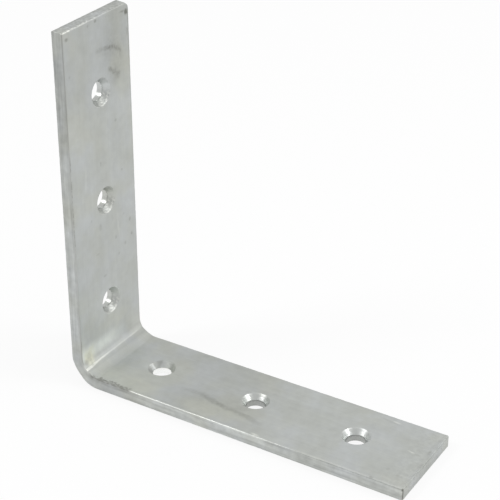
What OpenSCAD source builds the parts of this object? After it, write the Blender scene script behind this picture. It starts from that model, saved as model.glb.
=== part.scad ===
// Corner brace bracket: one flat steel bar, punched, countersunk and bent to
// a right angle. It stands on its foot. The origin is the point where the two
// outside faces would meet, at the middle of the bar's width. +X runs along
// the foot and +Z up the upright.

/* [Bar] */
// Width of the flat bar
bar_w = 40; // [24:1:80]
// Thickness of the flat bar
bar_t = 5; // [3:0.5:8]
// Radius of the bar's rolled long edges
edge_r = 0.3; // [0.2:0.1:1.2]

/* [Legs] */
// Length of the upright, from the underside of the foot to its end
upright_len = 150; // [140:1:260]
// Length of the foot, from the back of the upright to its end
foot_len = 150; // [140:1:260]
// Inside radius of the bend
bend_r = 7; // [3:0.5:11]

/* [Screw holes] */
// Diameter of the screw holes
bore_d = 7.5; // [4:0.5:9]
// Diameter of the countersinks at the inner face
sink_d = 11.5; // [10:0.5:14]
// Included angle of the countersinks
sink_angle = 82; // [80:1:120]
// Number of holes in the upright
upright_holes = 3; // [1:1:3]
// Number of holes in the foot
foot_holes = 3; // [1:1:3]
// Distance from the back of the heel to the first hole of each leg
first_hole = 29.5; // [27:0.5:40]
// Pitch of the holes along a leg
hole_pitch = 45; // [20:1:46]
// How far the line of holes lies from the middle of the width, to the far side
hole_side = 1; // [0:0.5:3]

/* [Ends] */
// Radius that the shear drew on the inner edge of each end
draw_r = 0.6; // [0.4:0.1:1.5]
// Chamfer that takes the burr off the outer edge of each end
burr_c = 0.2; // [0.2:0.1:0.8]
// Radius of the one worn corner, at the top of the upright
worn_r = 2.5; // [1:0.5:8]

/* [Hidden] */
$fn = 48;
// Overlap that carries each cut clear of the faces it opens
cut = 1;
// Outside radius of the bend, which is also where the straight legs start
heel_r = bend_r + bar_t;
// Depth of a countersink, and the length of plain bore under it
sink_depth = (sink_d - bore_d) / 2 / tan(sink_angle / 2);
land = bar_t - sink_depth;

// Cross-section of the bar: its thickness runs along x from the outer face
// and its width is centred on y
module bar_section() {
    translate([edge_r, -bar_w / 2]) square([bar_t - 2 * edge_r, bar_w]);
    translate([0, edge_r - bar_w / 2]) square([bar_t, bar_w - 2 * edge_r]);
    for (x = [edge_r, bar_t - edge_r], side = [-1, 1])
        translate([x, side * (bar_w / 2 - edge_r)]) circle(r = edge_r);
}

// One countersunk hole, its axis along +Z and its cone opening at z = bar_t
module screw_hole() {
    rotate_extrude()
        polygon([
            [0, -cut], [bore_d / 2, -cut], [bore_d / 2, land],
            [sink_d / 2, bar_t], [sink_d / 2, bar_t + cut], [0, bar_t + cut]
        ]);
}

// What the shear leaves at the end of a leg, cut away across the width: the
// inner edge is drawn round and the outer edge has its burr taken off
module sheared_edges(len) {
    rotate([90, 0, 0])
        linear_extrude(height = bar_w + 2 * cut, center = true) {
            difference() {
                translate([bar_t - draw_r, len - draw_r]) square(draw_r + cut);
                translate([bar_t - draw_r, len - draw_r]) circle(r = draw_r);
            }
            polygon([
                [-cut, len - burr_c], [0, len - burr_c], [burr_c, len],
                [burr_c, len + cut], [-cut, len + cut]
            ]);
        }
}

// The worn corner on the far side of the upright's end, through the bar
module worn_corner() {
    rotate([90, 0, 90])
        translate([0, 0, -cut])
            linear_extrude(height = bar_t + 2 * cut)
                difference() {
                    translate([bar_w / 2 - worn_r, upright_len - worn_r])
                        square(worn_r + cut);
                    translate([bar_w / 2 - worn_r, upright_len - worn_r])
                        circle(r = worn_r);
                }
}

// A straight leg standing up from the heel, with its holes and sheared end
module leg(len, holes) {
    difference() {
        translate([0, 0, heel_r])
            linear_extrude(height = len - heel_r) bar_section();
        for (i = [0 : holes - 1])
            translate([0, hole_side, first_hole + i * hole_pitch])
                rotate([0, 90, 0]) screw_hole();
        sheared_edges(len);
    }
}

// The quarter turn that joins the legs
module heel() {
    translate([heel_r, 0, heel_r])
        rotate([90, 180, 0])
            rotate_extrude(angle = 90)
                translate([bend_r, 0]) bar_section();
}

// The foot is a leg mirrored in the plane that halves the right angle
module bracket() {
    color([0.7, 0.71, 0.7]) {
        heel();
        mirror([1, 0, -1]) leg(foot_len, foot_holes);
        difference() {
            leg(upright_len, upright_holes);
            worn_corner();
        }
    }
}

bracket();
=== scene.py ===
"""The corner brace bracket in a plain studio.

One zinc-plated steel bar, punched, countersunk and bent to a right angle. The
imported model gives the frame, and this file adds the dressed bar, its plating,
the floor, the lamps and the camera, all in the same frame.

Sizes of the bar are in millimetres and become metres when its mesh is made.
Three distances place a point of the bar: along its length from the end of the
foot, across its width from the middle, and its height over the outer face.
"""

import logging
import math
from dataclasses import dataclass
from enum import Enum

import bmesh
import bpy
import numpy as np
from mathutils import Matrix, Vector, noise


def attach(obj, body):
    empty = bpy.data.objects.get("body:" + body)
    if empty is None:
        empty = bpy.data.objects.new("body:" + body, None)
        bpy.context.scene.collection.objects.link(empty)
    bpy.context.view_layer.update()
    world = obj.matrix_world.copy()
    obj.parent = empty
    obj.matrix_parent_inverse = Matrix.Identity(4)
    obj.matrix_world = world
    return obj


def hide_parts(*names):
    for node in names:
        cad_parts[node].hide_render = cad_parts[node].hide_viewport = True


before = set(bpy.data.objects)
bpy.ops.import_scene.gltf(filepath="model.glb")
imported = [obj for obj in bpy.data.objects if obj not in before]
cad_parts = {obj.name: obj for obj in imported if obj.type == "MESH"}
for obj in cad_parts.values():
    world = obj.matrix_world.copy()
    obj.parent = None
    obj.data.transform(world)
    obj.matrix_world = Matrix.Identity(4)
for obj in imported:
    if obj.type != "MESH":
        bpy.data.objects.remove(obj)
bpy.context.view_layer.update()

LOG = logging.getLogger("corner_brace")
METRE = 1000.0
RIGHT_ANGLE = 90.0
TINY = 1e-6


def smooth_step(low: float, high: float, value: np.ndarray) -> np.ndarray:
    """Step smoothly from 0 at low to 1 at high, falling where high is the smaller."""
    part = np.clip((value - low) / (high - low), 0.0, 1.0)
    return part * part * (3.0 - 2.0 * part)


def unit(vectors: np.ndarray) -> np.ndarray:
    """Vectors of length 1 that point the same ways."""
    return vectors / np.maximum(np.linalg.norm(vectors, axis=1), TINY)[:, None]


def add_to_scene(name: str, data: bpy.types.ID) -> bpy.types.Object:
    """Link a new object to the scene.

    Args:
        name: Name of the object.
        data: Its mesh, lamp or camera.

    Returns:
        The object.
    """
    made = bpy.data.objects.new(name, data)
    bpy.context.scene.collection.objects.link(made)
    return made


@dataclass(frozen=True)
class Ripple:
    """Smooth repeatable unevenness, between about -1 and 1.

    Its sizes are in millimetres, along, across and through the flat bar. The
    seed makes one ripple differ from another.
    """

    along: float
    across: float
    through: float
    seed: float

    def at(self, points: np.ndarray) -> np.ndarray:
        """The unevenness at points of the flat bar."""
        scaled = points / np.array([self.along, self.across, self.through]) + self.seed
        return np.array([noise.noise(Vector(place)) for place in scaled])


@dataclass(frozen=True)
class BarSizes:
    """Sizes of the bracket's bar, in millimetres.

    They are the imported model's, apart from the burr at the top, the worn corner,
    which also tapers through the bar, and the degrees round the bend at which
    the press tool creased the inner face.
    """

    width: float = 40.0
    thick: float = 5.0
    edge_radius: float = 0.3
    leg: float = 150.0
    bend_radius: float = 7.0
    bore_radius: float = 3.75
    sink_radius: float = 5.75
    sink_depth: float = 2.3
    holes: tuple[float, ...] = (29.5, 74.5, 119.5)
    hole_side: float = 1.0
    draw: float = 0.6
    burr: float = 0.2
    top_burr: float = 0.35
    worn_radius: float = 2.25
    worn_taper: float = 0.6
    crease_turn: float = 52.0

    @property
    def pitch(self) -> float:
        """Distance from each hole of a leg to the next."""
        return self.holes[1] - self.holes[0]

    @property
    def land(self) -> float:
        """Length of the plain bore under a countersink."""
        return self.thick - self.sink_depth

    @property
    def heel(self) -> float:
        """Outside radius of the bend."""
        return self.bend_radius + self.thick

    @property
    def straight(self) -> float:
        """Length of the flat part of a leg."""
        return self.leg - self.heel

    @property
    def bend_run(self) -> float:
        """Length of the bend at the middle of the bar's thickness."""
        return math.pi / 2 * (self.bend_radius + self.thick / 2)

    @property
    def length(self) -> float:
        """Length of the whole bar, once it is laid flat."""
        return 2 * self.straight + self.bend_run

    def hole_places(self) -> list[float]:
        """Find the middles of the holes along the bar.

        Returns:
            Their distances from the foot's end, in order.
        """
        foot = [self.leg - reach for reach in self.holes]
        upright = [self.straight + self.bend_run + reach - self.heel for reach in self.holes]
        return sorted(foot + upright)


@dataclass(frozen=True)
class BarPath:
    """The way the flat bar is bent: along the foot, round the heel and up."""

    sizes: BarSizes

    def turn(self, along: np.ndarray) -> np.ndarray:
        """Angle of the bend at each distance along the bar, from 0 to a right angle."""
        part = (along - self.sizes.straight) / self.sizes.bend_run
        return np.clip(part, 0.0, 1.0) * math.pi / 2

    def place(self, flat: np.ndarray) -> np.ndarray:
        """Carry points from the flat bar to the bent one.

        Args:
            flat: Along, across and height of each point, in millimetres.

        Returns:
            The points' x, y and z, in millimetres.
        """
        along, across, height = flat.T
        sizes = self.sizes
        turn = self.turn(along)
        radius = sizes.heel - height
        foot_rest = np.maximum(sizes.straight - along, 0.0)
        upright_rest = np.maximum(along - sizes.straight - sizes.bend_run, 0.0)
        x = sizes.heel - radius * np.sin(turn) + foot_rest
        z = sizes.heel - radius * np.cos(turn) + upright_rest
        return np.column_stack([x, across, z])


@dataclass(frozen=True)
class NetLines:
    """Spacing of the skin's net of faces, in millimetres and degrees."""

    sizes: BarSizes
    pad: float = 8.0
    pad_cells: int = 20
    cell: float = 0.8
    edge_cells: int = 4
    side_cell: float = 0.45
    end_cells: int = 6
    end_run: float = 5.0
    end_cell: float = 0.4
    bend_cells: int = 40
    crease_gap: float = 7.0
    crease_lines: tuple[float, ...] = (0.0, 0.4, 0.8, 1.2, 1.8, 2.6, 4.0, 6.0)
    ring_parts: tuple[float, ...] = (0.3, 0.55, 0.75, 0.9, 1.0)
    sink_gap: float = 0.25
    bore_gap: float = 0.3
    cone_rings: int = 9
    wall_rings: int = 5
    sharp_turn: float = 34.0

    @staticmethod
    def rolled(radius: float, cells: int) -> list[float]:
        """Distances from an edge that space a rounded edge's faces evenly."""
        return [radius * math.tan(math.pi / 4 * step / cells) for step in range(cells + 1)]

    @staticmethod
    def run(low: float, high: float, cell: float) -> list[float]:
        """Evenly spaced lines between two, without the first of them."""
        cells = max(1, round((high - low) / cell))
        return [low + (high - low) * step / cells for step in range(1, cells + 1)]

    def last_edge(self, end: float) -> list[float]:
        """Lines over the rolled edge that ends the net, without the first of them."""
        rolled = self.rolled(self.sizes.edge_radius, self.edge_cells)
        return [end - value for value in reversed(rolled)][1:]

    @staticmethod
    def mirrored(half: list[float]) -> np.ndarray:
        """Lines on both sides of zero from the lines of the upper half."""
        return np.array([-value for value in reversed(half)] + half[1:])

    def across(self) -> np.ndarray:
        """Lines across the bar's width.

        Returns:
            The lines, from the near side to the far side.
        """
        side = self.sizes.width / 2
        half = [self.pad * 2 * step / self.pad_cells for step in range(self.pad_cells // 2 + 1)]
        half += self.run(self.pad, side - self.sizes.edge_radius, self.cell)
        return self.mirrored(half + self.last_edge(side))

    def through(self) -> np.ndarray:
        """Lines through the bar's thickness.

        Returns:
            The lines, from the outer face to the inner face.
        """
        edge, thick = self.sizes.edge_radius, self.sizes.thick
        lines = self.rolled(edge, self.edge_cells) + self.run(edge, thick - edge, self.side_cell)
        return np.array(lines + self.last_edge(thick))

    def bend(self) -> list[float]:
        """Angles of the lines round the bend.

        Returns:
            The angles, close together at the crease.
        """
        turn = self.sizes.crease_turn
        crease = list(turn + self.mirrored(list(self.crease_lines)))
        even = [step * RIGHT_ANGLE / self.bend_cells for step in range(1, self.bend_cells + 1)]
        return sorted(crease + [angle for angle in even if abs(angle - turn) > self.crease_gap])

    def along(self) -> np.ndarray:
        """Lines along the bar's length.

        Returns:
            The lines, from the end of the foot to the top.
        """
        sizes = self.sizes
        lines = self.rolled(sizes.draw, self.end_cells)
        lines += self.run(sizes.draw, self.end_run, self.end_cell)
        for place in sizes.hole_places()[: len(sizes.holes)]:
            lines += self.run(lines[-1], place - self.pad, self.cell)
            lines += self.run(place - self.pad, place + self.pad, 2 * self.pad / self.pad_cells)
        lines += self.run(lines[-1], sizes.straight, self.cell)
        lines += [sizes.straight + sizes.bend_run * angle / RIGHT_ANGLE for angle in self.bend()]
        back = [sizes.length - value for value in reversed(lines) if value < sizes.straight - TINY]
        return np.array(lines + back)


class BarSkin:
    """The skin of the bar, built flat as a closed net and then bent."""

    def __init__(self, sizes: BarSizes, lines: NetLines) -> None:
        """Lay out the net's lines.

        Args:
            sizes: Sizes of the bar.
            lines: Spacing of the net's lines.
        """
        self.sizes = sizes
        self.lines = lines
        self.path = BarPath(sizes)
        self.across = lines.across()
        self.through = lines.through()
        self.along = lines.along()
        self.flat: list[tuple[float, float, float]] = []
        self.in_hole: list[bool] = []
        self.corners: dict[tuple[int, int, int], int] = {}
        self.faces: list[tuple[int, ...]] = []

    def corner(self, i: int, j: int, k: int) -> int:
        """Find or add the net's point where three lines meet.

        Args:
            i: Line across.
            j: Line through.
            k: Line along.

        Returns:
            The point's number.
        """
        key = (i, j, k)
        if key not in self.corners:
            self.corners[key] = self.point(self.along[k], self.across[i], self.through[j], False)
        return self.corners[key]

    def point(self, along: float, across: float, height: float, in_hole: bool) -> int:
        """Add a point to the flat skin.

        Args:
            along: Distance along the bar.
            across: Distance from the middle of the width.
            height: Height over the outer face.
            in_hole: Whether it lies on a hole's wall.

        Returns:
            The point's number.
        """
        self.flat.append((float(along), float(across), float(height)))
        self.in_hole.append(in_hole)
        return len(self.flat) - 1

    def pads(self) -> list[tuple[int, int, int, int, float]]:
        """Blocks of the net that the holes take.

        Returns:
            For each hole the first and last line across, the first and last
            line along, and the place of the hole's middle along the bar.
        """
        found = []
        first = int(np.argmin(abs(self.across + self.lines.pad)))
        last = int(np.argmin(abs(self.across - self.lines.pad)))
        for place in self.sizes.hole_places():
            low = int(np.argmin(abs(self.along - (place - self.lines.pad))))
            high = int(np.argmin(abs(self.along - (place + self.lines.pad))))
            found.append((first, last, low, high, place))
        return found

    def add_sides(self) -> None:
        """Add the faces of the four long sides, leaving the holes' blocks out."""
        last_i, last_j = len(self.across) - 1, len(self.through) - 1
        blocks = self.pads()
        for k in range(len(self.along) - 1):
            for i in range(last_i):
                if any(a <= i < b and c <= k < d for a, b, c, d, _ in blocks):
                    continue
                for j in (0, last_j):
                    self.faces.append(tuple(self.corner(p, j, q) for p, q in self.square(i, k)))
            for j in range(last_j):
                for i in (0, last_i):
                    self.faces.append(tuple(self.corner(i, p, q) for p, q in self.square(j, k)))

    def add_ends(self) -> None:
        """Add the faces of the two sheared ends."""
        for k in (0, len(self.along) - 1):
            for i in range(len(self.across) - 1):
                for j in range(len(self.through) - 1):
                    self.faces.append(tuple(self.corner(p, q, k) for p, q in self.square(i, j)))

    @staticmethod
    def square(first: int, second: int) -> list[tuple[int, int]]:
        """The four corners of a cell of a net."""
        return [(first, second), (first + 1, second), (first + 1, second + 1), (first, second + 1)]

    def add_holes(self) -> None:
        """Add each hole with the pads of faces round it."""
        for block in self.pads():
            self.add_hole(*block)

    def add_hole(self, i0: int, i1: int, k0: int, k1: int, place: float) -> None:
        """Join the two faces of the bar through one countersunk hole.

        Args:
            i0: First line across of the hole's block.
            i1: Last line across.
            k0: First line along.
            k1: Last line along.
            place: Middle of the hole along the bar.
        """
        top = len(self.through) - 1
        loop = [(i, k0) for i in range(i0, i1)] + [(i1, k) for k in range(k0, k1)]
        loop += [(i, k1) for i in range(i1, i0, -1)] + [(i0, k) for k in range(k1, k0, -1)]
        aside = self.sizes.hole_side
        rim = [(self.along[k] - place, self.across[i] - aside) for i, k in loop]
        angles = [math.atan2(across, along) for along, across in rim]
        sink = self.sizes.sink_radius + self.lines.sink_gap
        bore = self.sizes.bore_radius + self.lines.bore_gap
        rings = [[self.corner(i, top, k) for i, k in loop]]
        rings += self.face_rings(place, rim, angles, self.sizes.thick, sink)
        rings += [self.ring(place, angles, radius, height) for radius, height in self.hole_profile()]
        rings += self.face_rings(place, rim, angles, 0.0, bore)[::-1]
        rings.append([self.corner(i, 0, k) for i, k in loop])
        for outer, inner in zip(rings, rings[1:]):
            for step in range(len(outer)):
                after = (step + 1) % len(outer)
                self.faces.append((outer[step], outer[after], inner[after], inner[step]))

    def face_rings(
        self,
        place: float,
        rim: list[tuple[float, float]],
        angles: list[float],
        height: float,
        radius: float,
    ) -> list[list[int]]:
        """Rings that turn a hole's square block into a circle on a flat face.

        Args:
            place: Middle of the hole along the bar.
            rim: Points of the block's outline, along and across from the hole's middle.
            angles: Their directions.
            height: Height of the face.
            radius: Radius of the circle.

        Returns:
            The point numbers of each ring, from the block inwards.
        """
        rings = []
        aside = self.sizes.hole_side
        for part in self.lines.ring_parts:
            ring = []
            for (along, across), angle in zip(rim, angles):
                to_along = along + (radius * math.cos(angle) - along) * part
                to_across = across + (radius * math.sin(angle) - across) * part
                ring.append(self.point(place + to_along, aside + to_across, height, False))
            rings.append(ring)
        return rings

    def ring(self, place: float, angles: list[float], radius: float, height: float) -> list[int]:
        """Lay one ring of a hole's wall.

        Args:
            place: Middle of the hole along the bar.
            angles: Directions of the ring's points from that middle.
            radius: Radius of the ring.
            height: Height of the ring.

        Returns:
            The points' numbers.
        """
        aside = self.sizes.hole_side
        spots = [(place + radius * math.cos(angle), aside + radius * math.sin(angle)) for angle in angles]
        return [self.point(along, across, height, True) for along, across in spots]

    def hole_profile(self) -> list[tuple[float, float]]:
        """Shape of a hole, with its rim, knee and mouth barely broken.

        Returns:
            Radius and height of the rings down the hole, from the inner face.
        """
        rim, trace, knee, mouth = 0.1, 0.02, 0.06, 0.16
        sink, bore = self.sizes.sink_radius, self.sizes.bore_radius
        top, land = self.sizes.thick, self.sizes.land
        rings = [(sink + rim, top - trace), (sink - trace, top - rim)]
        for step in range(1, self.lines.cone_rings):
            part = step / self.lines.cone_rings
            rings.append((sink + (bore - sink) * part, top - self.sizes.sink_depth * part))
        rings += [(bore + knee, land + knee), (bore, land - knee)]
        walls = self.lines.wall_rings
        rings += [(bore, land * step / walls) for step in range(walls - 1, 0, -1)]
        return rings + [(bore + 0.25 * mouth, 0.75 * mouth), (bore + mouth, trace)]

    def rounded(self, flat: np.ndarray) -> tuple[np.ndarray, np.ndarray]:
        """Round every edge of the flat bar, each by its own radius.

        Args:
            flat: Points on the sharp-edged bar.

        Returns:
            The points on the rounded bar, and the way out of it at each.
        """
        sizes = self.sizes
        along, across, height = flat.T
        from_end = np.minimum(along, sizes.length - along)
        inner = smooth_step(0.2 * sizes.thick, 0.8 * sizes.thick, height)
        at_end = smooth_step(3.0, 1.0, from_end)
        burr = np.where(along < sizes.length / 2, sizes.burr, sizes.top_burr)
        radius_along = burr + (sizes.draw - burr) * inner
        radius_across = sizes.edge_radius * (1.0 - 0.4 * at_end)
        radius_height = sizes.edge_radius + (radius_along - sizes.edge_radius) * at_end
        core = np.column_stack(
            [
                np.clip(along, radius_along, sizes.length - radius_along),
                np.clip(across, radius_across - sizes.width / 2, sizes.width / 2 - radius_across),
                np.clip(height, radius_height, sizes.thick - radius_height),
            ]
        )
        radii = np.column_stack([radius_along, radius_across, radius_height])
        out = unit((flat - core) / radii)
        return core + radii * out, unit(out / radii)

    def worn_corner(self, points: np.ndarray, ways: np.ndarray) -> None:
        """Round the far corner at the top of the upright, through the bar.

        Args:
            points: Points of the flat bar, changed in place.
            ways: The way out of the bar at each, changed in place.
        """
        sizes = self.sizes
        radius = sizes.worn_radius + sizes.worn_taper * (2.0 * points[:, 2:] / sizes.thick - 1.0)
        low = np.array([sizes.length, sizes.width / 2]) - radius
        part = (points[:, :2] - low) / radius
        inside = (part > TINY).all(axis=1)
        span = np.hypot(part[inside, 0], part[inside, 1])
        scale = part[inside].max(axis=1) / span
        points[inside, :2] = low[inside] + part[inside] * scale[:, None] * radius[inside]
        size = np.hypot(ways[inside, 0], ways[inside, 1])
        ways[inside, :2] = part[inside] / span[:, None] * size[:, None]

    def build(self, name: str, wear: "BarWear") -> bpy.types.Object:
        """Make the bar's mesh.

        Args:
            name: Name of the piece.
            wear: What rolling, shearing, bending and handling did to the bar.

        Returns:
            The bar, in metres, in the model's frame.
        """
        self.add_sides()
        self.add_ends()
        self.add_holes()
        flat = np.array(self.flat)
        in_hole = np.array(self.in_hole)
        points, ways = flat.copy(), np.zeros_like(flat)
        points[~in_hole], ways[~in_hole] = self.rounded(flat[~in_hole])
        self.worn_corner(points, ways)
        points = wear.apply(points, ways, in_hole)
        mesh = bpy.data.meshes.new(name)
        mesh.from_pydata((self.path.place(points) / METRE).tolist(), [], self.faces)
        net = bmesh.new()
        net.from_mesh(mesh)
        bmesh.ops.recalc_face_normals(net, faces=net.faces)
        net.to_mesh(mesh)
        net.free()
        mesh.shade_smooth()
        mesh.set_sharp_from_angle(angle=math.radians(self.lines.sharp_turn))
        return add_to_scene(name, mesh)


@dataclass(frozen=True)
class BarWear:
    """What rolling, shearing, bending and handling left in the bar's shape."""

    sizes: BarSizes
    crease_sink: float = 0.04
    crease_spread: float = 2.2
    facet_share: float = 0.5
    waviness: float = 0.03
    waves: Ripple = Ripple(26.0, 15.0, 9.0, 3.1)
    edge_dents: float = 0.12
    small_dents: Ripple = Ripple(1.6, 3.0, 3.0, 11.7)
    large_dents: Ripple = Ripple(7.0, 6.0, 6.0, 5.3)
    shear_marks: float = 0.10
    drawn: Ripple = Ripple(9.0, 0.7, 4.0, 21.2)
    torn: Ripple = Ripple(9.0, 0.6, 0.6, 8.8)
    foot_skew: float = 0.64
    top_skew: float = 1.19
    skew_reach: float = 14.0
    heel_flat: float = 0.63
    heel_turn: float = 52.0
    heel_spread: float = 22.0
    heel_fade: float = 12.0

    def apply(self, points: np.ndarray, ways: np.ndarray, in_hole: np.ndarray) -> np.ndarray:
        """Wear every point of the flat bar.

        Args:
            points: Points of the flat bar.
            ways: The way out of the bar at each point.
            in_hole: Whether each point lies on a hole's wall.

        Returns:
            The worn points, none of them outside the bar's own box.
        """
        sunk = self.waviness * (0.5 + 0.5 * self.waves.at(points))
        sunk += self.edge_sink(points, ways)
        sunk += self.end_sink(points, ways)
        sunk[in_hole] = 0.0
        worn = points - ways * sunk[:, None]
        worn[:, 2] += self.bend_rise(points, ways) + self.heel_rise(points)
        worn[:, 0] += self.end_shift(points)
        worn[:, 1] = np.clip(worn[:, 1], -self.sizes.width / 2, self.sizes.width / 2)
        return worn

    def edge_sink(self, points: np.ndarray, ways: np.ndarray) -> np.ndarray:
        """Dent the bar's long edges.

        Args:
            points: Points of the flat bar.
            ways: The way out of the bar at each.

        Returns:
            The depth at each point.
        """
        on_edge = np.clip(3.0 * abs(ways[:, 1] * ways[:, 2]), 0.0, 1.0)
        small = np.maximum(self.small_dents.at(points) - 0.12, 0.0)
        large = np.maximum(self.large_dents.at(points), 0.0)
        return on_edge * self.edge_dents * (small + 0.5 * large)

    def end_sink(self, points: np.ndarray, ways: np.ndarray) -> np.ndarray:
        """Depth of the marks that the shear drew down the two ends."""
        torn = self.torn.at(points) * smooth_step(2.8, 1.6, points[:, 2])
        return abs(ways[:, 0]) * self.shear_marks * (0.5 + 0.5 * self.drawn.at(points) + 0.4 * torn)

    def end_shift(self, points: np.ndarray) -> np.ndarray:
        """Leave both ends a little out of square.

        Args:
            points: Points of the flat bar.

        Returns:
            The shift along the bar at each point.
        """
        sizes = self.sizes
        far = points[:, 1] / sizes.width + 0.5
        at_foot = np.clip(1.0 - points[:, 0] / self.skew_reach, 0.0, 1.0)
        at_top = np.clip(1.0 - (sizes.length - points[:, 0]) / self.skew_reach, 0.0, 1.0)
        return self.foot_skew * far * at_foot - self.top_skew * (1.0 - far) * at_top

    def heel_rise(self, points: np.ndarray) -> np.ndarray:
        """Thin the bar in the bend, from its outer face.

        Args:
            points: Points of the flat bar.

        Returns:
            The change of height at each point.
        """
        turn = np.degrees(BarPath(self.sizes).turn(points[:, 0]))
        share = np.clip(1.0 - points[:, 2] / self.sizes.thick, 0.0, 1.0)
        spread = np.exp(-(((turn - self.heel_turn) / self.heel_spread) ** 2))
        fade = smooth_step(0.0, self.heel_fade, turn)
        fade *= smooth_step(RIGHT_ANGLE, RIGHT_ANGLE - self.heel_fade, turn)
        return self.heel_flat * share * spread * fade

    def bend_rise(self, points: np.ndarray, ways: np.ndarray) -> np.ndarray:
        """Rise of the inner face in the bend, where the press tool creased it.

        Args:
            points: Points of the flat bar.
            ways: The way out of the bar at each point.

        Returns:
            The change of height at each point, in millimetres.
        """
        turn = np.degrees(BarPath(self.sizes).turn(points[:, 0]))
        radius, at_crease = self.sizes.bend_radius, self.sizes.crease_turn
        half = at_crease / 2
        inner = smooth_step(0.3, 0.9, ways[:, 2]) * (turn > 0.0) * (turn < RIGHT_ANGLE)
        lower = np.clip(turn, 0.0, at_crease) - half
        chord = radius - radius * math.cos(math.radians(half)) / np.cos(np.radians(lower))
        crease = self.crease_sink * np.exp(-(((turn - at_crease) / self.crease_spread) ** 2))
        return inner * (self.facet_share * chord * (turn < at_crease) - crease)


class Value:
    """A number on a shader socket. Its operators add the Math nodes they need."""

    def __init__(self, bench: "Bench", socket: bpy.types.NodeSocket) -> None:
        """Wrap an output socket of the bench's node tree."""
        self.bench = bench
        self.socket = socket

    def __add__(self, other: "Number") -> "Value":
        """Sum of two numbers."""
        return self.bench.math("ADD", self, other)

    def __sub__(self, other: "Number") -> "Value":
        """Difference of two numbers."""
        return self.bench.math("SUBTRACT", self, other)

    def __rsub__(self, other: float) -> "Value":
        """Difference, with a plain number on the left."""
        return self.bench.math("SUBTRACT", other, self)

    def __mul__(self, other: "Number") -> "Value":
        """Product of two numbers."""
        return self.bench.math("MULTIPLY", self, other)

    __radd__ = __add__
    __rmul__ = __mul__

    def __abs__(self) -> "Value":
        """The number without its sign."""
        return self.bench.math("ABSOLUTE", self)

    def least(self, other: "Number") -> "Value":
        """The smaller of two numbers."""
        return self.bench.math("MINIMUM", self, other)

    def most(self, other: "Number") -> "Value":
        """The larger of two numbers."""
        return self.bench.math("MAXIMUM", self, other)

    def step(self, low: float, high: float) -> "Value":
        """A smooth step from 0 to 1, or from 1 to 0 where high is the smaller.

        Args:
            low: Where the step starts.
            high: Where it ends.

        Returns:
            The step.
        """
        start, end, first, last = (low, high, 0.0, 1.0) if low < high else (high, low, 1.0, 0.0)
        settings = {"interpolation_type": "SMOOTHSTEP", "clamp": True}
        sockets = {"Value": self, "From Min": start, "From Max": end, "To Min": first, "To Max": last}
        made = self.bench.add("ShaderNodeMapRange", settings, sockets)
        return Value(self.bench, made.outputs["Result"])


Number = Value | float


class Bench:
    """A material's node tree, with the few ways in which nodes are added to it."""

    def __init__(self, tree: bpy.types.NodeTree) -> None:
        """Clear the node tree of a material or a world."""
        self.tree = tree
        tree.nodes.clear()

    def add(self, kind: str, settings: dict | None = None, sockets: dict | None = None) -> bpy.types.Node:
        """Add a node.

        Args:
            kind: The node's type.
            settings: Its properties, which are set first.
            sockets: Values or links for its inputs, by name or number.

        Returns:
            The new node.
        """
        node = self.tree.nodes.new(kind)
        for name, setting in (settings or {}).items():
            setattr(node, name, setting)
        for key, given in (sockets or {}).items():
            if isinstance(given, Value):
                given = given.socket
            if isinstance(given, bpy.types.NodeSocket):
                self.tree.links.new(given, node.inputs[key])
            else:
                node.inputs[key].default_value = given
        return node

    def math(self, operation: str, first: Number, second: Number | None = None) -> Value:
        """Add a Math node.

        Args:
            operation: What it does.
            first: Its first number.
            second: Its second number, if it takes two.

        Returns:
            The result.
        """
        sockets = {0: first} if second is None else {0: first, 1: second}
        made = self.add("ShaderNodeMath", {"operation": operation}, sockets)
        return Value(self, made.outputs[0])

    def vector(self, operation: str, sockets: dict, output: str = "Vector") -> bpy.types.NodeSocket:
        """Add a Vector Math node and give one of its outputs."""
        return self.add("ShaderNodeVectorMath", {"operation": operation}, sockets).outputs[output]

    def join(self, x: Number, y: Number, z: Number) -> bpy.types.NodeSocket:
        """Make a vector of three numbers."""
        return self.add("ShaderNodeCombineXYZ", None, {0: x, 1: y, 2: z}).outputs[0]

    def noise(self, place: bpy.types.NodeSocket, scale: float, detail: float = 2.0) -> Value:
        """Smooth noise between 0 and 1 at a place."""
        made = self.add("ShaderNodeTexNoise", None, {"Vector": place, "Scale": scale, "Detail": detail})
        return Value(self, made.outputs[0])

    def blend(self, factor: Value, first: object, second: object) -> bpy.types.NodeSocket:
        """Blend two colours.

        Args:
            factor: Share of the second colour.
            first: A colour, or the socket that carries one.
            second: A colour, or the socket that carries one.

        Returns:
            The socket that carries the blend.
        """
        settings = {"data_type": "RGBA", "clamp_factor": True}
        made = self.add("ShaderNodeMix", settings, {0: factor, 6: first, 7: second})
        return made.outputs[2]


class Leg(Enum):
    """The leg of the bracket that a mark lies on."""

    FOOT = "foot"
    UPRIGHT = "upright"


@dataclass(frozen=True)
class Mark:
    """A stain or a rubbed place on the inner face of a leg.

    Its reach is its distance from the heel and across its distance from the
    middle of the width, in millimetres, and its slant turns it, in degrees.
    """

    leg: Leg
    reach: float
    across: float
    half_length: float
    half_width: float
    strength: float
    slant: float = 0.0


def marks_on(leg: Leg, *rows: tuple[float, ...]) -> tuple[Mark, ...]:
    """Marks on one leg, each from a row with a mark's fields in their order."""
    return tuple(Mark(leg, *row) for row in rows)


Colour = tuple[float, float, float, float]


def colour(red: float, green: float, blue: float) -> Colour:
    """A colour as the shader sockets take it."""
    return (red, green, blue, 1.0)


WHITE = colour(1.0, 1.0, 1.0)


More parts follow.
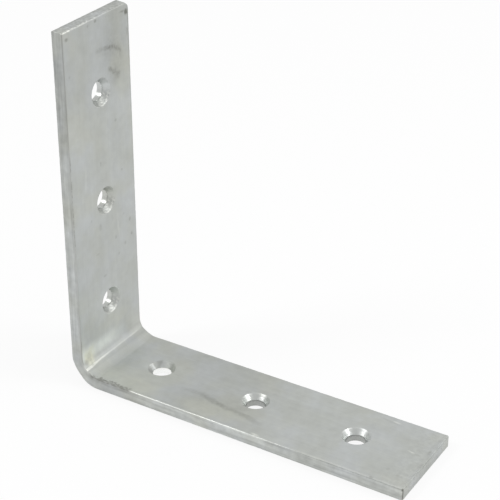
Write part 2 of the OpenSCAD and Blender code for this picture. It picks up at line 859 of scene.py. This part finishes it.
class BarPlace:
    """Where a shaded point lies on the bar, in millimetres, and the noises there."""

    def __init__(self, bench: Bench, wear: BarWear) -> None:
        """Work out the distances that the plating's marks go by.

        Args:
            bench: The material's bench.
            wear: The bar's wear, which knows its sizes.
        """
        sizes = wear.sizes
        self.bench = bench
        self.sizes = sizes
        coordinates = bench.add("ShaderNodeTexCoord").outputs["Object"]
        self.place = bench.vector("SCALE", {0: coordinates, "Scale": METRE})
        split = bench.add("ShaderNodeSeparateXYZ", None, {0: self.place})
        self.x, self.y, self.z = (Value(bench, output) for output in split.outputs)
        self.reach = self.x.most(self.z)
        self.along = self.x - self.z
        self.on_foot = self.along.step(-0.5, 0.5)
        self.on_upright = 1.0 - self.on_foot
        self.height = self.above_outer_face()
        self.from_side = sizes.width / 2 - abs(self.y)
        self.near = self.y.step(0.5, -0.5)
        self.face = self.height.step(4.5, 4.8) * self.from_side.step(0.05, 0.3)
        self.side_face = self.from_side.step(0.3, 0.1)
        top, tip = sizes.leg - wear.top_skew / 2, sizes.leg - wear.foot_skew / 2
        self.from_top = top + wear.top_skew / sizes.width * self.y - self.z
        self.from_tip = tip - wear.foot_skew / sizes.width * self.y - self.x
        self.top_face = self.from_top.step(0.35, 0.15)
        self.tip_face = self.from_tip.step(0.35, 0.15)
        first_cell = sizes.holes[0] - sizes.pitch / 2
        self.hole_way = bench.math("MODULO", self.reach - first_cell, sizes.pitch) - sizes.pitch / 2
        across = self.y - sizes.hole_side
        self.ring = bench.math("SQRT", self.hole_way * self.hole_way + across * across)
        streaks = bench.join(self.along * 0.018, self.y * 1.5, self.height * 1.5)
        self.rolled = bench.noise(streaks, 1.0, 3.0)
        streaks = bench.join(self.along * 0.05, self.y * 5.5, self.height * 5.5)
        self.hairs = bench.noise(streaks, 1.0, 2.0)
        self.cloud = bench.noise(self.place, 0.07, 3.0)
        self.drift = bench.noise(self.place, 0.045, 2.0)
        self.blotch = bench.noise(self.place, 0.35, 3.0)
        self.crumbs = bench.noise(self.place, 0.9, 3.0)
        self.grain = bench.noise(self.place, 2.6, 2.0)

    def above_outer_face(self) -> Value:
        """Follow the outer face round the bend.

        Returns:
            The height over it.
        """
        heel = self.sizes.heel
        in_x, in_z = (heel - self.x).most(0.0), (heel - self.z).most(0.0)
        return heel - self.bench.math("SQRT", in_x * in_x + in_z * in_z)


class HolePlace:
    """Whether a shaded point lies in a screw hole, and in which part of it."""

    def __init__(self, at: BarPlace) -> None:
        """Find the countersinks, the plain bores and the foot's first hole.

        Args:
            at: Place on the bar.
        """
        sizes, bench = at.sizes, at.bench
        flat = at.reach.step(20.0, 21.0)
        deep = at.height.step(sizes.land + 0.08, sizes.land - 0.04)
        self.cone = at.ring.step(sizes.sink_radius + 0.2, sizes.sink_radius - 0.1) * (1.0 - deep) * flat
        self.land = at.ring.step(sizes.bore_radius + 0.3, sizes.bore_radius + 0.1) * deep * flat
        self.first = at.on_foot * at.x.step(45.0, 40.0)
        turned = bench.join(at.ring * 1.6, at.hole_way * 0.8 + at.y * 0.5, 0.0)
        self.chatter = bench.noise(turned, 1.0, 2.0)


@dataclass(frozen=True)
class ZincPlate:
    """Satin bright zinc plating on rolled steel, as handled and stored, with light and shade painted into
    its colour.
    """

    name: str = "satin_zinc_plate"
    plain: Colour = colour(0.520, 0.536, 0.512)
    cool: Colour = colour(0.510, 0.528, 0.524)
    warm: Colour = colour(0.524, 0.534, 0.488)
    # Pale colour for places worn by rubbing and for painted highlights.
    rubbed_and_highlight: Colour = colour(0.860, 0.870, 0.820)
    # Painted reflection on the bore wall of the foot's first hole.
    bore_reflection: Colour = colour(0.960, 0.965, 0.950)
    # Dark colour for dirt and for painted shade.
    grime_and_shade: Colour = colour(0.170, 0.172, 0.150)
    passivate: Colour = colour(0.780, 0.780, 0.640)
    stains: tuple[Mark, ...] = marks_on(
        Leg.FOOT,
        (51.5, -6.6, 7.0, 1.9, 0.14, 2.0),
        (60.5, -8.1, 7.5, 1.5, 0.27, -16.0),
        (70.0, -9.5, 8.5, 1.6, 0.20, -7.0),
        (79.5, -11.0, 7.0, 1.6, 0.17, -14.0),
        (64.0, -11.0, 24.0, 7.0, 0.10, -8.0),
        (50.0, 14.0, 22.0, 9.0, 0.05),
    ) + marks_on(
        Leg.UPRIGHT,
        (139.0, 12.0, 15.0, 10.0, 0.15),
        (130.0, 10.0, 13.0, 8.0, 0.08),
        (124.6, 10.3, 4.0, 4.5, 0.12, 35.0),
        (135.0, 7.0, 3.5, 8.0, 0.08, 8.0),
        (52.0, -4.0, 14.0, 3.0, 0.05, 8.0),
        (98.0, 9.0, 11.0, 4.0, 0.05, -8.0),
    )
    spots: tuple[Mark, ...] = marks_on(
        Leg.UPRIGHT,
        (136.1, 1.5, 1.1, 2.6, 0.20),
        (135.8, 5.6, 1.2, 2.6, 0.28, 8.0),
        (135.0, 8.9, 1.2, 2.4, 0.30, 14.0),
        (133.8, 12.2, 1.2, 2.2, 0.24, 22.0),
        (131.4, 13.9, 2.6, 1.1, 0.20),
        (126.9, 7.2, 1.0, 1.8, 0.30, 20.0),
        (125.3, 9.6, 1.3, 1.8, 0.32, 35.0),
        (123.5, 11.8, 1.6, 1.7, 0.26, 30.0),
        (145.7, -17.7, 0.8, 1.0, 0.50),
        (146.3, 18.4, 1.4, 1.1, 1.00),
        (147.0, 16.2, 0.5, 1.8, 0.36),
        (147.2, -5.1, 0.6, 0.6, 0.28),
        (147.9, -0.6, 0.7, 0.9, 0.50),
        (131.3, -17.2, 0.6, 0.6, 0.26),
        (138.6, 18.6, 1.6, 0.8, 0.30),
        (105.5, 9.1, 0.7, 0.9, 0.22),
        (91.0, -1.4, 1.3, 0.5, 0.24),
        (83.7, 11.7, 0.6, 0.7, 0.18),
        (69.4, -8.9, 0.7, 0.6, 0.16),
        (64.5, -3.6, 1.8, 1.0, 0.20),
        (64.4, 11.7, 0.6, 0.7, 0.18),
        (60.3, 15.7, 1.0, 0.7, 0.28),
        (56.2, 6.1, 0.9, 0.6, 0.28),
        (53.6, 16.6, 0.9, 0.6, 0.30),
        (53.4, -6.1, 0.5, 1.3, 0.18),
        (51.0, 12.1, 0.9, 0.8, 0.26),
        (48.1, 7.7, 0.7, 0.7, 0.18),
        (42.2, -2.0, 0.6, 1.2, 0.28),
        (11.2, -15.4, 2.2, 1.5, 0.18, 20.0),
        (8.9, -15.0, 1.2, 0.8, 0.24),
        (7.0, -15.4, 0.9, 1.3, 0.34),
        (9.3, -17.7, 1.3, 1.3, 0.26),
    ) + marks_on(
        Leg.FOOT,
        (66.0, -13.0, 0.7, 0.7, 0.08),
        (136.7, -19.4, 0.9, 0.8, 0.50),
        (139.4, -11.4, 0.8, 1.0, 0.16),
        (144.4, -13.2, 0.8, 0.8, 0.14),
        (148.1, 5.7, 0.9, 1.8, 0.26),
        (148.9, -2.7, 0.7, 1.2, 0.20),
        (148.0, 14.7, 0.8, 1.3, 0.18),
        (144.7, 2.1, 1.3, 0.8, 0.10),
        (126.0, 16.6, 5.0, 0.7, 0.14, -9.0),
    )
    tints: tuple[Mark, ...] = marks_on(
        Leg.UPRIGHT,
        (10.8, -15.2, 5.0, 3.4, 0.58),
        (128.0, 14.0, 22.0, 7.0, 0.10),
        (20.0, 2.0, 5.0, 9.0, 0.10),
    ) + marks_on(
        Leg.FOOT,
        (26.0, -15.0, 16.0, 6.0, 0.14),
        (64.0, -14.0, 18.0, 5.0, 0.16),
    )
    rubs: tuple[Mark, ...] = marks_on(
        Leg.FOOT,
        (128.6, 17.2, 2.2, 0.5, 0.45, -8.0),
        (142.0, 2.8, 1.7, 0.5, 0.35, -12.0),
        (86.5, -19.0, 2.2, 0.7, 0.60),
    ) + marks_on(
        Leg.UPRIGHT,
        (88.0, -11.0, 6.0, 0.5, 0.16, 3.0),
        (60.0, 8.0, 5.0, 0.5, 0.14, -4.0),
    )

    def make(self, wear: BarWear) -> bpy.types.Material:
        """Make the plating's material.

        Args:
            wear: The wear of the bar that it covers.

        Returns:
            A material whose colour, gloss and relief vary by place on the bar.
        """
        material = bpy.data.materials.new(self.name)
        material.use_nodes = True
        bench = Bench(material.node_tree)
        at = BarPlace(bench, wear)
        rolled, cloud, blotch, crumbs = at.rolled, at.cloud, at.blotch, at.crumbs

        stain = self.marks(at, self.stains, 2.5) * (0.1 + 1.2 * crumbs + 0.6 * blotch)
        spots = self.marks(at, self.spots, 0.5) * (0.62 + 0.5 * crumbs.step(0.36, 0.64))
        tint = self.marks(at, self.tints, 4.0)
        rubs = self.marks(at, self.rubs, 1.0) * (0.4 + 1.2 * crumbs)
        specks = at.grain.step(0.66, 0.76) * blotch.step(0.4, 0.6) * 0.22
        # Real stains, spots and specks on the inner face, the scuff, and painted shade along the
        # upright's edges.
        dirt_and_shade = (stain + spots + specks) * at.face + self.scuff(at) + self.edge_shade(at)
        dirt_and_shade = dirt_and_shade + self.end_darkening(at)
        crease, rims, lip, dull = self.crease(at), self.rims(at), self.lip(at), self.dull_rim(at)
        hole = HolePlace(at)
        cone, land, first, chatter = hole.cone, hole.land, hole.first, hole.chatter
        # Painted shade in the holes is added to the dark mask.
        dirt_and_shade = (dirt_and_shade + self.sink_shade(at, hole)).least(0.92)

        zinc = bench.blend(cloud.step(0.35, 0.65), self.plain, self.cool)
        zinc = bench.blend(at.drift.step(0.48, 0.66) * 0.6, zinc, self.warm)
        shade = 0.69 + 0.10 * rolled + 0.08 * at.hairs + 0.28 * cloud + 0.18 * blotch
        # Painted shade on the foot's dull rims, which darkens their highlight.
        uneven = self.uneven(at, hole) - 0.06 * dull
        # Painted light and shade by zone multiply the colour.
        shade = shade * self.painted_light(at) * (1.0 + uneven)
        zinc = bench.vector("SCALE", {0: zinc, "Scale": shade})
        zinc = bench.blend(tint * at.face * (0.5 + blotch), zinc, self.passivate)
        # Painted highlights in the pale colour: flecks on the lower side of the upright's countersinks,
        # the crease, the long edges, the top's front edge and the bore walls, beside real places worn by
        # rubbing.
        fleck = at.hole_way.step(1.0, -2.0) * chatter.step(0.48, 0.6) * cone
        bright = (crease * 0.9).most(rims * 0.7).most(lip).most(rubs * at.face)
        bright = bright.most(at.on_upright * fleck * 0.35).most(land * (first + 0.1 * at.on_upright))
        zinc = bench.blend(bright, zinc, self.rubbed_and_highlight)
        # Painted reflection on the bore wall of the foot's first hole.
        zinc = bench.blend(land * first, zinc, self.bore_reflection)
        # Darkened by dirt and by painted shade.
        zinc = bench.blend(dirt_and_shade, zinc, self.grime_and_shade)

        rough = 0.50 + 0.06 * rolled + 0.06 * blotch + 0.04 * crumbs + 0.15 * dirt_and_shade
        rough = rough - 0.14 * crease - 0.34 * rims - 0.20 * lip + 0.16 * dull
        rough = rough + cone * (0.20 * chatter - 0.20) - cone * at.on_foot * (0.09 - 0.13 * first)
        rough = rough - land * (0.26 + 0.16 * first)
        relief = 0.5 * rolled + 0.4 * at.hairs + 0.35 * at.grain + 0.6 * blotch + 1.6 * cone * chatter
        bump = bench.add("ShaderNodeBump", None, {"Strength": 0.5, "Distance": 0.00007, "Height": relief})
        sockets = {"Base Color": zinc, "Metallic": 1.0 - 0.6 * dirt_and_shade, "Roughness": rough.most(0.12)}
        sockets["Normal"] = bump.outputs[0]
        surface = bench.add("ShaderNodeBsdfPrincipled", None, sockets)
        bench.add("ShaderNodeOutputMaterial", None, {0: surface.outputs[0]})
        return material

    @staticmethod
    def marks(at: BarPlace, marks: tuple[Mark, ...], drift: float) -> Value:
        """Strength of a set of marks.

        Args:
            at: Place on the bar.
            marks: The marks to lay on the legs.
            drift: How far the marks' outlines stray, in millimetres.

        Returns:
            The strength at each place, from 0 to 1.
        """
        bench = at.bench
        stray = bench.add("ShaderNodeTexNoise", None, {"Vector": at.place, "Scale": 0.28, "Detail": 3.0})
        shift = bench.vector("SUBTRACT", {0: stray.outputs["Color"], 1: (0.5, 0.5, 0.5)})
        start = bench.join(at.reach, at.y, 0.0)
        spot = bench.vector("MULTIPLY_ADD", {0: shift, 1: (drift, drift, 0.0), 2: start})
        sums = {leg: 0.0 for leg in Leg}
        for mark in marks:
            sockets = {"Vector": spot, "Location": (mark.reach, mark.across, 0.0)}
            sockets["Rotation"] = (0.0, 0.0, math.radians(mark.slant))
            sockets["Scale"] = (mark.half_length, mark.half_width, 1.0)
            local = bench.add("ShaderNodeMapping", {"vector_type": "TEXTURE"}, sockets)
            far = Value(bench, bench.vector("LENGTH", {0: local.outputs[0]}, "Value"))
            sums[mark.leg] = sums[mark.leg] + far.step(1.3, 0.3) * mark.strength
        foot, upright = sums[Leg.FOOT], sums[Leg.UPRIGHT]
        return (at.on_foot * foot + at.on_upright * upright).least(1.0)

    @staticmethod
    def scuff(at: BarPlace) -> Value:
        """Dark ragged scuff on the foot's near edge, just past the bend.

        Args:
            at: Place on the bar.

        Returns:
            The strength of the grime.
        """
        ragged = at.bench.noise(at.place, 0.8, 4.0)
        strokes = at.bench.noise(at.bench.join(at.x * 0.5 + at.y * 0.5, at.y * 0.9, at.z * 0.9), 1.0, 3.0)
        narrow = at.x.step(14.0, 10.0)
        top = (at.y + 21.0 + narrow - 5.0 * ragged).step(0.5, -0.5) * at.height.step(4.3, 4.6)
        side = at.side_face * at.near * at.height.step(2.2, 4.4) * 0.5
        run = at.x.step(7.5, 10.0) * at.x.step(29.5, 26.5)
        bend = side * at.x.step(1.0, 5.0) * at.x.step(11.0, 9.0) * at.z.step(20.0, 12.0) * 0.2
        return top.most(side) * run * (0.35 + 0.38 * strokes.step(0.38, 0.58)) + bend

    @staticmethod
    def edge_shade(at: BarPlace) -> Value:
        """Painted shade along the upright's long edges, standing for the dark surroundings that they
        reflect: a dark line down the near edge, darkest low down, and a mottled darker line along the far
        edge near the top.

        Args:
            at: Place on the bar.

        Returns:
            How dark the painted shade is.
        """
        wide = at.side_face * at.height.step(3.3, 4.9) * at.z.step(112.0, 92.0) * 0.18
        narrow = at.side_face * at.height.step(4.3, 4.85) * at.z.step(90.0, 112.0) * 0.34
        low = 0.16 + 0.24 * at.z.step(45.0, 25.0) + 0.4 * at.z.step(24.0, 17.0)
        low = low + 0.5 * at.z.step(102.0, 97.0) * at.z.step(57.0, 61.0) * at.crumbs.step(0.4, 0.6)
        inner = at.face * at.from_side.step(0.8, 0.1) * low
        near = (wide + narrow + inner) * at.near * (0.5 + at.blotch) * at.z.step(8.0, 11.0)
        far = at.face * at.from_side.step(1.1, 0.2) * at.y.step(18.0, 18.5)
        far = far * (0.1 + 0.3 * at.z.step(120.0, 140.0)) * (0.3 + 1.4 * at.crumbs)
        return (near + far) * at.on_upright

    @staticmethod
    def end_darkening(at: BarPlace) -> Value:
        """Darker places on the two sheared ends and at their corners.

        Args:
            at: Place on the bar.

        Returns:
            How dark each place is.
        """
        back = at.top_face * at.height.step(1.9, 0.9) * (0.04 + 0.3 * at.blotch)
        drawn = at.on_foot * at.from_tip.step(0.8, 0.4) * at.height.step(4.1, 4.4)
        corner = at.tip_face.most(drawn) * at.y.step(-19.0, -19.5) * at.height.step(0.3, 1.0) * 0.85
        fleck = at.from_tip.step(3.0, 0.4) * at.on_foot * at.crumbs.step(0.55, 0.66) * 0.24
        return back + corner + fleck

    @staticmethod
    def sink_shade(at: BarPlace, hole: HolePlace) -> Value:
        """Painted shade in the holes: on the foot's bore walls, under the upper rims of the upright's
        upper countersinks, and over the foot's first countersink.

        Args:
            at: Place on the bar.
            hole: Place in a hole.

        Returns:
            How dark the painted shade is.
        """
        # Painted shade on the foot's bore walls, under the upper rims of the upright's countersinks, and
        # on the foot's first countersink.
        wall = hole.land * (0.34 - 0.34 * hole.first) * at.on_foot
        arc = at.hole_way.step(1.5, 4.5) * at.ring.step(4.4, 5.4) * at.z.step(40.0, 60.0) * 0.12
        left = at.hole_way.step(-2.4, -3.4) * at.y.step(1.6, 2.4) * 0.4
        middle = 0.08 * at.hole_way.step(-1.0, 1.5) * at.hole_way.step(3.6, 2.0)
        near = 0.26 * at.y.step(0.4, -1.0) * at.hole_way.step(4.5, 3.0)
        first_hole_shade = hole.first * (0.04 * at.hole_way.step(3.6, 2.0) + left + middle + near)
        return wall + hole.cone * (arc * at.on_upright + first_hole_shade)

    @staticmethod
    def uneven(at: BarPlace, hole: HolePlace) -> Value:
        """Uneven lightness of the ends and the sides, and painted light and shade on the countersinks.

        Args:
            at: Place on the bar.
            hole: Place in a hole.

        Returns:
            How much lighter each place is, as a share.
        """
        bands = at.bench.noise(at.bench.join(at.along * 0.05, at.height * 0.9, at.y * 0.1), 1.0, 2.0)
        ends = at.top_face * 0.7 * (at.crumbs - 0.53) + at.tip_face * 0.4 * (at.crumbs - 0.42)
        sides = at.side_face * (0.6 * bands + 0.3 * at.blotch - 0.45)
        # Painted light on the upper half of the upright's countersinks, most on the lowest, painted shade
        # on their lower half, and painted light on the far side of the foot's first countersink.
        lit = (0.20 + 0.18 * at.z.step(45.0, 40.0)) * at.hole_way.step(-1.0, 2.0)
        sunk = at.on_upright * (lit - 0.16 * at.hole_way.step(0.0, -2.5))
        flank = hole.first * at.hole_way.step(2.0, 4.0) * 0.14
        foot_end = at.on_foot * at.from_tip.step(16.0, 2.0) * 0.30 * (at.crumbs - 0.5)
        return ends + sides + hole.cone * (sunk + flank) + foot_end

    @staticmethod
    def dull_rim(at: BarPlace) -> Value:
        """Edges that lost their gloss, also painted darker to hide their highlight: the foot's end and
        the near edge beside it.

        Args:
            at: Place on the bar.

        Returns:
            How dull each place is.
        """
        end = at.height.step(4.1, 4.5) * at.from_tip.step(0.9, 0.4)
        near = at.from_side.step(0.45, 0.22) * at.height.step(4.5, 4.78) * at.near
        return (end + near * at.x.step(103.0, 108.0)).least(1.0) * at.on_foot

    @staticmethod
    def crease(at: BarPlace) -> Value:
        """Painted highlight along the crease that the press tool left across the inside of the bend,
        partly burnished metal.

        Args:
            at: Place on the bar.

        Returns:
            How bright each place is.
        """
        heel = at.sizes.heel
        turn = at.bench.math("ARCTAN2", heel - at.x, heel - at.z) * math.degrees(1.0)
        middle = at.sizes.crease_turn + 1.2
        apart = abs(turn - middle - 0.15 * at.y + 2.0 * at.blotch + 2.6 * at.y.step(-11.0, -17.0))
        line = (apart - 1.8 * at.y.step(-10.0, -18.0)).step(4.3, 1.1)
        inside = at.face * at.x.step(14.0, 12.0) * at.z.step(14.0, 12.0)
        fade = (0.25 + 0.66 * at.y.step(4.0, -17.0)) * at.y.step(18.2, 14.5)
        return line * inside * fade * (0.2 + 1.4 * at.blotch).least(1.0)

    @staticmethod
    def rims(at: BarPlace) -> Value:
        """Painted highlight on the long edges, partly burnished metal, brightest on the foot's near edge
        past the scuff, with a pale worn band near the foot's end.

        Args:
            at: Place on the bar.

        Returns:
            How bright each place is.
        """
        rim = at.from_side.step(0.45, 0.22) * at.height.step(4.5, 4.78) * at.x.step(104.0, 98.0)
        run = at.x.step(27.0, 30.0) * at.near
        broken = at.x.step(84.0, 81.0).most(at.crumbs.step(0.45, 0.6))
        worn = at.from_side.step(1.5, 0.3) * at.face * at.near * at.x.step(100.0, 108.0)
        return rim * (0.12 + 0.50 * run * broken) + worn * (0.1 + 0.4 * at.crumbs)

    @staticmethod
    def lip(at: BarPlace) -> Value:
        """Painted highlight on the top's front edge, partly worn metal, and a pale corner line beside the
        foot's end.

        Args:
            at: Place on the bar.

        Returns:
            How bright each place is.
        """
        front = at.height.step(4.15, 4.5) * at.from_top.step(0.85, 0.35) * at.on_upright
        # Painted highlight on the top's front edge, strongest on its near half, broken into spots.
        rubbed_and_highlight = 0.10 + 0.18 * at.y.step(6.0, -2.0) + 0.42 * at.y.step(-9.0, -15.0)
        rubbed_and_highlight = rubbed_and_highlight * (0.30 + at.crumbs.step(0.46, 0.62))
        corner = at.side_face * at.near * at.from_tip.step(1.7, 0.9) * at.on_foot * 0.08
        return (front * rubbed_and_highlight + corner).least(1.0)

    @staticmethod
    def painted_light(at: BarPlace) -> Value:
        """Painted light and shade on the plating: lighter near the heel and towards the foot's end, a
        painted shadow just below the crease, a painted highlight along the foot's near side, darker
        towards the top of the upright and of its near side, darker on that side near the heel, and darker
        on the foot's end, most near its bottom.

        Args:
            at: Place on the bar.

        Returns:
            The factor for the colour, about 1.
        """
        # Painted light low on the upright, painted shade at its top, and a painted shadow in the bend
        # just below the crease.
        lower = (0.09 * at.z.step(45.0, 28.0) + 0.43 * at.z.step(18.0, 12.5)) * at.y.step(12.0, -4.0)
        upper = 0.03 - 0.07 * at.z.step(105.0, 125.0)
        upright = at.on_upright * (lower * at.z.step(9.0, 12.0) + upper)
        under = at.z.step(8.6, 7.4) * at.x.step(8.6, 7.8) * 0.10
        under = under + at.z.step(11.0, 10.2) * at.x.step(9.5, 8.6) * at.y.step(4.0, 12.0) * 0.08
        below = at.x.step(46.0, 26.0) * (0.5 * at.x.step(7.5, 9.5) + 0.5 * at.x.step(14.0, 24.0))
        past = at.x.step(8.5, 11.5) * at.x.step(25.0, 20.0) * at.y.step(-6.0, 3.0)
        past = past * at.y.step(17.0, 13.0) * 0.05
        foot = at.on_foot * (0.06 * below + past + 0.01 + 0.07 * at.x.step(66.0, 95.0))
        # Painted highlight along the foot's near side; painted shade on the near side near the heel and
        # towards the top.
        shine = 0.04 + 0.20 * at.height.step(2.4, 4.2) * at.x.step(68.0, 78.0)
        shine = shine * at.on_foot * at.x.step(56.0, 62.0) * at.x.step(95.0, 88.0)
        heel = 0.04 * at.reach.step(34.0, 14.0) + 0.04 * at.height.step(2.4, 1.0)
        heel = heel + 0.08 * at.on_foot * at.x.step(40.0, 26.0) * at.x.step(12.0, 17.0)
        dim = at.on_upright * (0.13 - 0.10 * at.z.step(110.0, 98.0) - 0.07 * at.z.step(98.0, 60.0))
        start = at.on_foot * at.x.step(32.0, 36.0) * at.x.step(62.0, 56.0) * 0.03
        side = at.side_face * at.near * (shine + start - heel - dim)
        # Painted shade on the foot's end, darkest near its bottom.
        tip = at.tip_face * (0.03 + 0.07 * at.height.step(2.8, 1.0))
        return 1.0 + at.face * (upright + foot - under) + side - tip


@dataclass(frozen=True)
class CornerBrace:
    """The bracket: one bent bar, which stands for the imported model's node."""

    name: str = "bracket_bar"
    node: str = "bracket"
    body: str = "root"
    slot: str = "zinc_plated_steel"
    sizes: BarSizes = BarSizes()
    plate: ZincPlate = ZincPlate()

    def build(self) -> bpy.types.Object:
        """Build and dress the bar, and put it in place of the model's node.

        Returns:
            The finished piece.
        """
        wear = BarWear(self.sizes)
        bar = BarSkin(self.sizes, NetLines(self.sizes)).build(self.name, wear)
        bar.data.materials.append(self.plate.make(wear))
        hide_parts(self.node)
        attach(bar, self.body)
        return bar


@dataclass(frozen=True)
class Floor:
    """The pale floor, white to the camera apart from the bracket's soft shadow."""

    half_size: float = 6.0
    drop: float = 0.00005
    paint: float = 0.86
    shown_white: float = 0.85

    def build(self) -> bpy.types.Object:
        """Build the floor.

        Returns:
            A wide flat sheet just under the bracket.
        """
        mesh = bpy.data.meshes.new("studio_floor")
        low, high = -self.half_size, self.half_size
        corners = [(low, low, 0.0), (high, low, 0.0), (high, high, 0.0), (low, high, 0.0)]
        mesh.from_pydata(corners, [], [(0, 1, 2, 3)])
        floor = add_to_scene("studio_floor", mesh)
        floor.location.z = -self.drop
        floor.data.materials.append(self.finish())
        return floor

    def finish(self) -> bpy.types.Material:
        """Matt pale paint that a camera or a mirror sees as nearly white.

        Returns:
            The floor's material.
        """
        material = bpy.data.materials.new("pale_floor")
        material.use_nodes = True
        bench = Bench(material.node_tree)
        path = bench.add("ShaderNodeLightPath")
        names = ("Is Camera Ray", "Is Glossy Ray", "Is Transmission Ray")
        camera, glossy, through = (Value(bench, path.outputs[name]) for name in names)
        seen = camera.most(glossy).most(through) * self.shown_white
        pale = colour(self.paint, self.paint, self.paint)
        paint = bench.add("ShaderNodeBsdfDiffuse", None, {"Color": pale})
        white = bench.add("ShaderNodeEmission", None, {"Color": WHITE, "Strength": 1.0})
        both = bench.add("ShaderNodeMixShader", None, {0: seen, 1: paint.outputs[0], 2: white.outputs[0]})
        bench.add("ShaderNodeOutputMaterial", None, {0: both.outputs[0]})
        return material


@dataclass(frozen=True)
class Softbox:
    """A square studio lamp that faces the bracket."""

    name: str
    azimuth: float
    elevation: float
    distance: float
    side: float
    power: float
    aim: tuple[float, float, float] = (0.05, 0.0, 0.04)

    def build(self) -> bpy.types.Object:
        """Build the lamp.

        Returns:
            The lamp, turned to face the point it aims at.
        """
        lamp = bpy.data.lights.new(self.name, "AREA")
        lamp.shape = "SQUARE"
        lamp.size = self.side
        lamp.energy = self.power
        made = add_to_scene(self.name, lamp)
        turn, rise = math.radians(self.azimuth), math.radians(self.elevation)
        way = Vector((math.sin(turn) * math.cos(rise), -math.cos(turn) * math.cos(rise), math.sin(rise)))
        made.location = Vector(self.aim) + way * self.distance
        made.rotation_mode = "QUATERNION"
        made.rotation_quaternion = way.to_track_quat("Z", "Y")
        return made


@dataclass(frozen=True)
class Studio:
    """The floor, the room's even light and the two lamps."""

    room_light: float = 0.82
    floor: Floor = Floor()
    lamps: tuple[Softbox, ...] = (
        Softbox("left_softbox", -45.0, 45.0, 1.4, 0.34, 4.0),
        Softbox("right_softbox", 114.0, 38.0, 1.4, 0.5, 5.0),
    )

    def build(self) -> None:
        """Build the floor, the lamps and the room's light."""
        self.floor.build()
        for lamp in self.lamps:
            lamp.build()
            LOG.info("lamp %s", lamp.name)
        world = bpy.data.worlds.new("studio_room")
        world.use_nodes = True
        bench = Bench(world.node_tree)
        path = bench.add("ShaderNodeLightPath")
        camera = Value(bench, path.outputs["Is Camera Ray"])
        strength = self.room_light + (1.0 - self.room_light) * camera
        room = bench.add("ShaderNodeBackground", None, {"Color": WHITE, "Strength": strength})
        bench.add("ShaderNodeOutputWorld", None, {0: room.outputs[0]})
        bpy.context.scene.world = world
        bpy.context.scene.view_settings.view_transform = "Standard"


@dataclass(frozen=True)
class StudioCamera:
    """The camera at the photograph's viewing angle."""

    eye: tuple[float, float, float] = (0.32482, -0.40618, 0.32177)
    target: tuple[float, float, float] = (0.04925, 0.03703, 0.02575)
    roll: float = 0.293
    lens: float = 104.400
    sensor: float = 36.0
    rise: float = 0.0997
    nearest: float = 0.01
    furthest: float = 50.0

    def build(self) -> bpy.types.Object:
        """Build the camera and make it the scene's own.

        Returns:
            The camera.
        """
        data = bpy.data.cameras.new("studio_camera")
        data.lens = self.lens
        data.sensor_width = self.sensor
        data.shift_y = self.rise
        data.clip_start = self.nearest
        data.clip_end = self.furthest
        camera = add_to_scene("studio_camera", data)
        sight = Vector(self.target) - Vector(self.eye)
        level = sight.to_track_quat("-Z", "Y").to_matrix().to_4x4()
        tilt = Matrix.Rotation(math.radians(self.roll), 4, "Z")
        camera.matrix_world = Matrix.Translation(Vector(self.eye)) @ level @ tilt
        bpy.context.scene.camera = camera
        return camera


def main() -> None:
    """Build the camera, the studio and the bracket."""
    logging.basicConfig(level=logging.INFO, format="%(message)s")
    StudioCamera().build()
    Studio().build()
    bar = CornerBrace().build()
    LOG.info("piece %s: %d faces", bar.name, len(bar.data.polygons))


if __name__ == "__main__":
    main()
